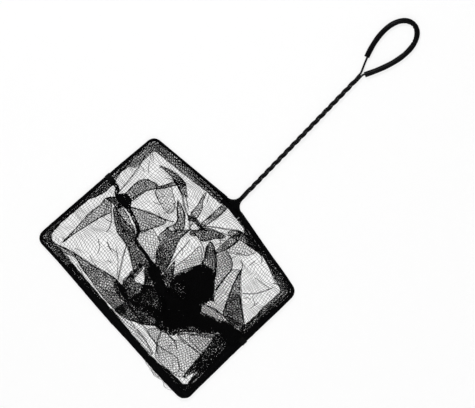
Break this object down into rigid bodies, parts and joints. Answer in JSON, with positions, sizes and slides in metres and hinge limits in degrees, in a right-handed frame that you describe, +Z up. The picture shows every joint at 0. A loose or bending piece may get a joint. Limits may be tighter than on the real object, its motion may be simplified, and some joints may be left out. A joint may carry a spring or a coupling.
{
  "type": "aquarium fish net",
  "caption": "Hand net of fine black netting on a rectangular wire hoop, with a twisted wire handle and a sleeved hanging loop, lying with its bag collapsed inside the hoop.",
  "frame": {"origin": "on the ground under the middle of the whole net's box, as it lies flat", "axes": "+Y from the hoop's far side along the handle to the hanging loop, +X to the right as seen from above with the handle pointing away, +Z up out of the bag's mouth"},
  "size_m": [0.2578, 0.4967, 0.02],
  "materials": {
    "coated_wire": "satin black plastic coating on steel wire",
    "vinyl_sleeve": "smooth soft vinyl, satin",
    "netting": "fine black knotless nylon netting",
    "near_hem_net": "netting folded double round the wire",
    "far_hem_net": "netting folded several times round the wire, opaque",
    "seam_net": "sewn and gathered netting, opaque",
    "thread": "black polyester sewing thread"
  },
  "bodies": {
    "root": {"hoop_wire": "coated_wire", "handle_strand_left": "coated_wire", "handle_strand_right": "coated_wire", "handle_strand_tail": "coated_wire", "loop_wire": "coated_wire", "grip_sleeve": "vinyl_sleeve", "near_hem_left": "near_hem_net", "near_hem_right": "near_hem_net", "crotch_web": "seam_net", "far_hem": "far_hem_net", "near_hem_thread": "thread", "far_hem_thread": "thread", "near_panel": "netting", "far_panel": "netting", "near_net_edge": "near_hem_net", "far_net_edge": "far_hem_net", "left_side_seam": "seam_net", "right_side_seam": "seam_net", "left_seam_tack": "seam_net", "right_seam_tack": "seam_net", "bag_bottom": "netting"}
  },
  "joints": []
}
